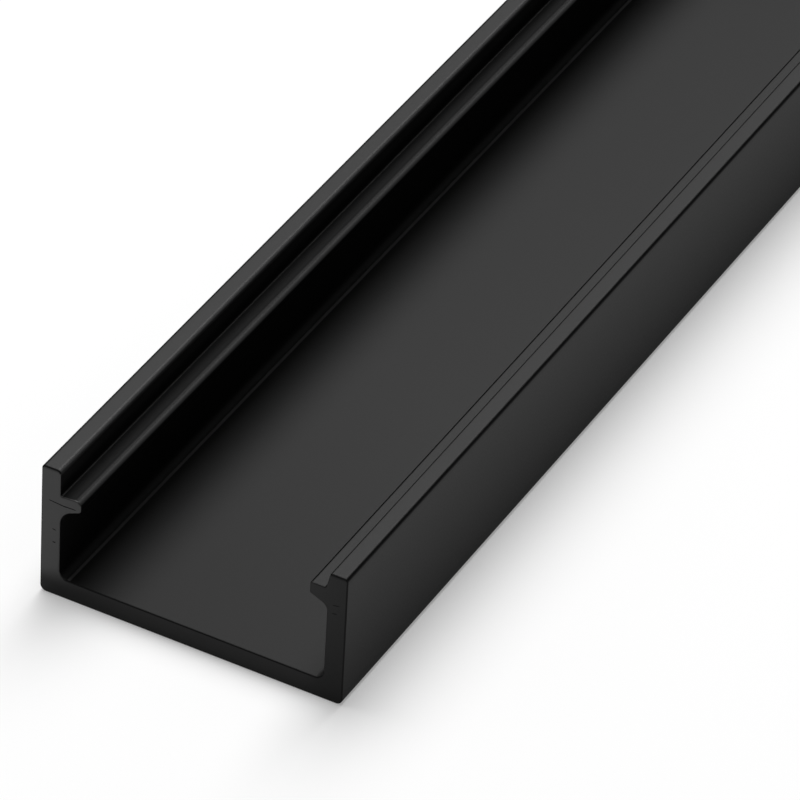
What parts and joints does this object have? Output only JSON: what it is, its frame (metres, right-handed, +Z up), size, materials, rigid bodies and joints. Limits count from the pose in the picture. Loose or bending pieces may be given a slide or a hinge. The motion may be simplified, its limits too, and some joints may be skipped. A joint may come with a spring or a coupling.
{
  "type": "aluminium light-strip channel profile",
  "caption": "Length of black anodised U-shaped extrusion with a flat floor, a flat ledge below one lip and a lower, rounded bead below the other, to hold a light strip under a clip-in cover.",
  "frame": {"origin": "centre of the flat underside, half way along the length", "axes": "+Z up from the underside to the open top, +Y along the length away from the cut end that the picture shows, +X across the width towards the flat ledge"},
  "size_m": [0.0176, 0.5, 0.008],
  "materials": {
    "black_anodised": "black anodised, fine satin, sawn ends"
  },
  "bodies": {
    "root": {"channel_profile": "black_anodised"}
  },
  "joints": []
}
